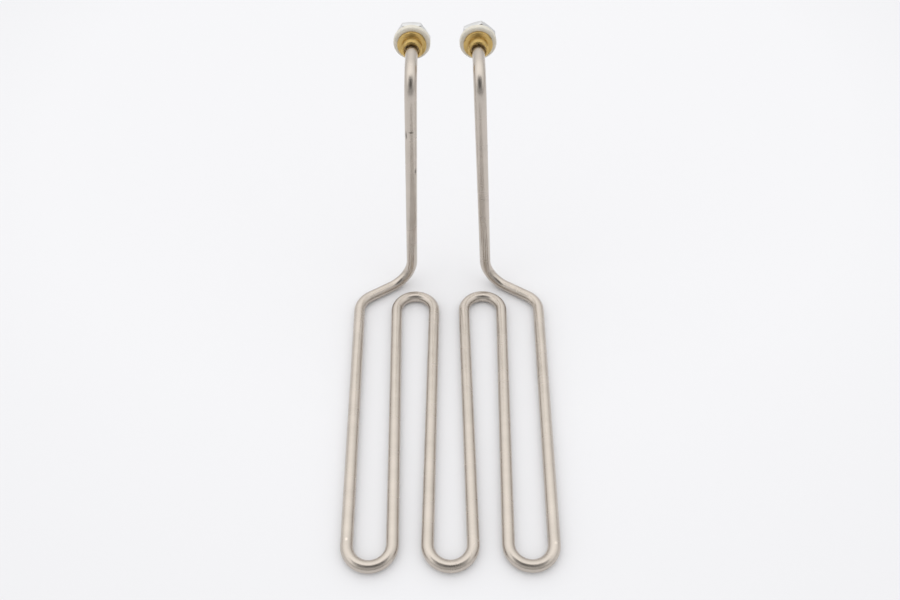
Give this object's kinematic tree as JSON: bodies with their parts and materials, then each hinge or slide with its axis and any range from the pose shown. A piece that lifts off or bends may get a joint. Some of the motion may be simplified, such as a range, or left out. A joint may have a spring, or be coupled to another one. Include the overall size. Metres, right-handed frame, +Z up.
{
  "type": "fryer heating element",
  "caption": "Tubular immersion heating element: a bare steel tube bent into a flat W, with upright legs that end in brass tank fittings and terminal studs.",
  "frame": {"origin": "on the surface that the W lies on, under the middle of the overall size", "axes": "+Z up along the legs, +Y towards the terminals, +X to the right seen from the front U-bends"},
  "size_m": [0.1522, 0.3174, 0.2122],
  "materials": {
    "sheath_steel": "bare stainless tube, satin as drawn",
    "magnesia": "compacted powder",
    "resistance_wire": "drawn wire",
    "pin_steel": "drawn rod",
    "fitting_brass": "turned, bright",
    "braze_alloy": "as cast",
    "seal_white": "smooth",
    "plated_steel": "zinc plated",
    "seal_resin": "potted",
    "insulator_ceramic": "unglazed"
  },
  "bodies": {
    "root": {"sheath": "sheath_steel", "magnesia_fill": "magnesia", "resistance_coil": "resistance_wire", "left_cold_pin": "pin_steel", "right_cold_pin": "pin_steel", "left_terminal_stud": "plated_steel", "right_terminal_stud": "plated_steel", "left_fitting": "fitting_brass", "right_fitting": "fitting_brass", "left_braze": "braze_alloy", "right_braze": "braze_alloy", "left_seal_washer": "seal_white", "right_seal_washer": "seal_white", "left_lock_nut": "plated_steel", "right_lock_nut": "plated_steel", "left_end_seal": "seal_resin", "right_end_seal": "seal_resin", "left_insulator": "insulator_ceramic", "right_insulator": "insulator_ceramic", "left_stud_washer": "plated_steel", "right_stud_washer": "plated_steel", "left_stud_nut": "plated_steel", "right_stud_nut": "plated_steel"}
  },
  "joints": []
}
